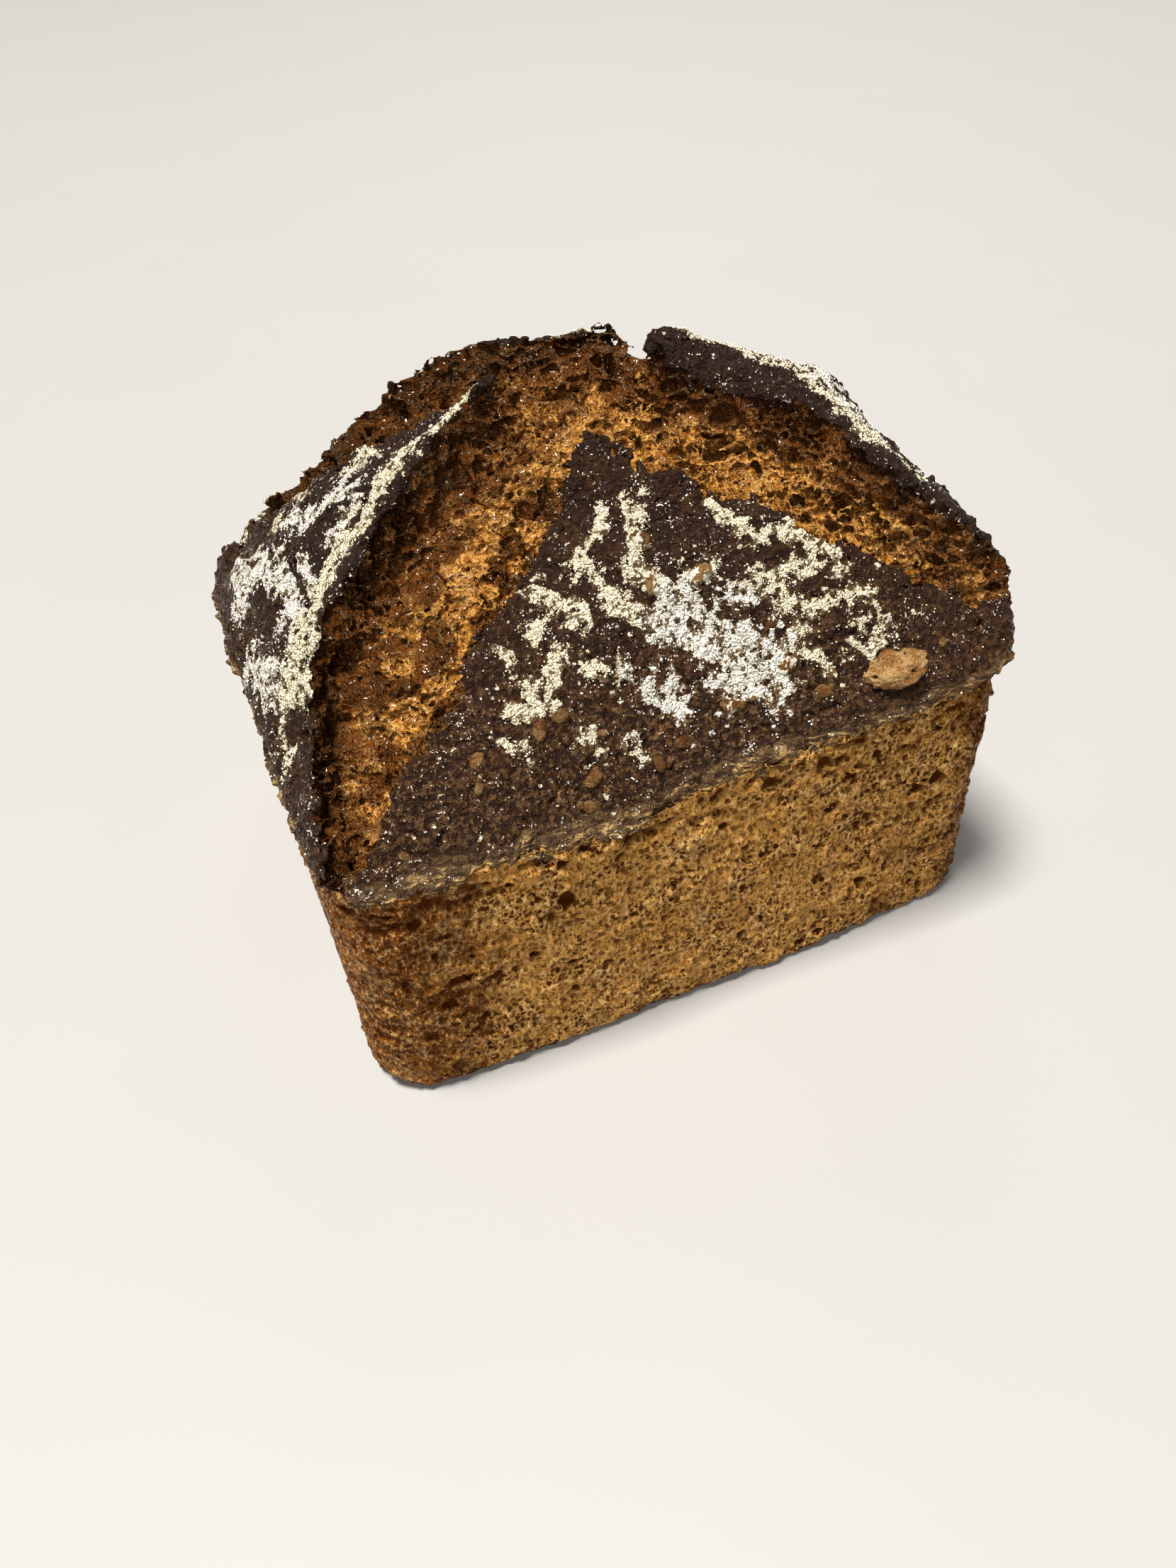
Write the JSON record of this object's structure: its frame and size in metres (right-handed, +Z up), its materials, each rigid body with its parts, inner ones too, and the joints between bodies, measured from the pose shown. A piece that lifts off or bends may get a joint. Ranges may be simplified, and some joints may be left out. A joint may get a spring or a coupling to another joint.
{
  "type": "spelt bread loaf",
  "caption": "Small, nearly square tin loaf of spelt bread with a cross-scored, torn and flour-dusted dark crust over golden tin-baked sides.",
  "frame": {"origin": "middle of the loaf's plan box, at the height of its flat base", "axes": "+X along the wider side, to the right of the pictured front; +Y from the pictured front to the back; +Z up"},
  "size_m": [0.1294, 0.1104, 0.1038],
  "materials": {
    "crust": "dark browned bread crust, satin with glossy specks, floured in patches",
    "crumb": "torn open-pored bread crumb, amber with toasted brown edges",
    "tin_side": "finely porous golden-brown crust baked against a tin",
    "flour": "dry matt flour in clumps",
    "kernel": "toasted grain and nut pieces, satin"
  },
  "bodies": {
    "root": {"loaf": "crust"}
  },
  "joints": []
}
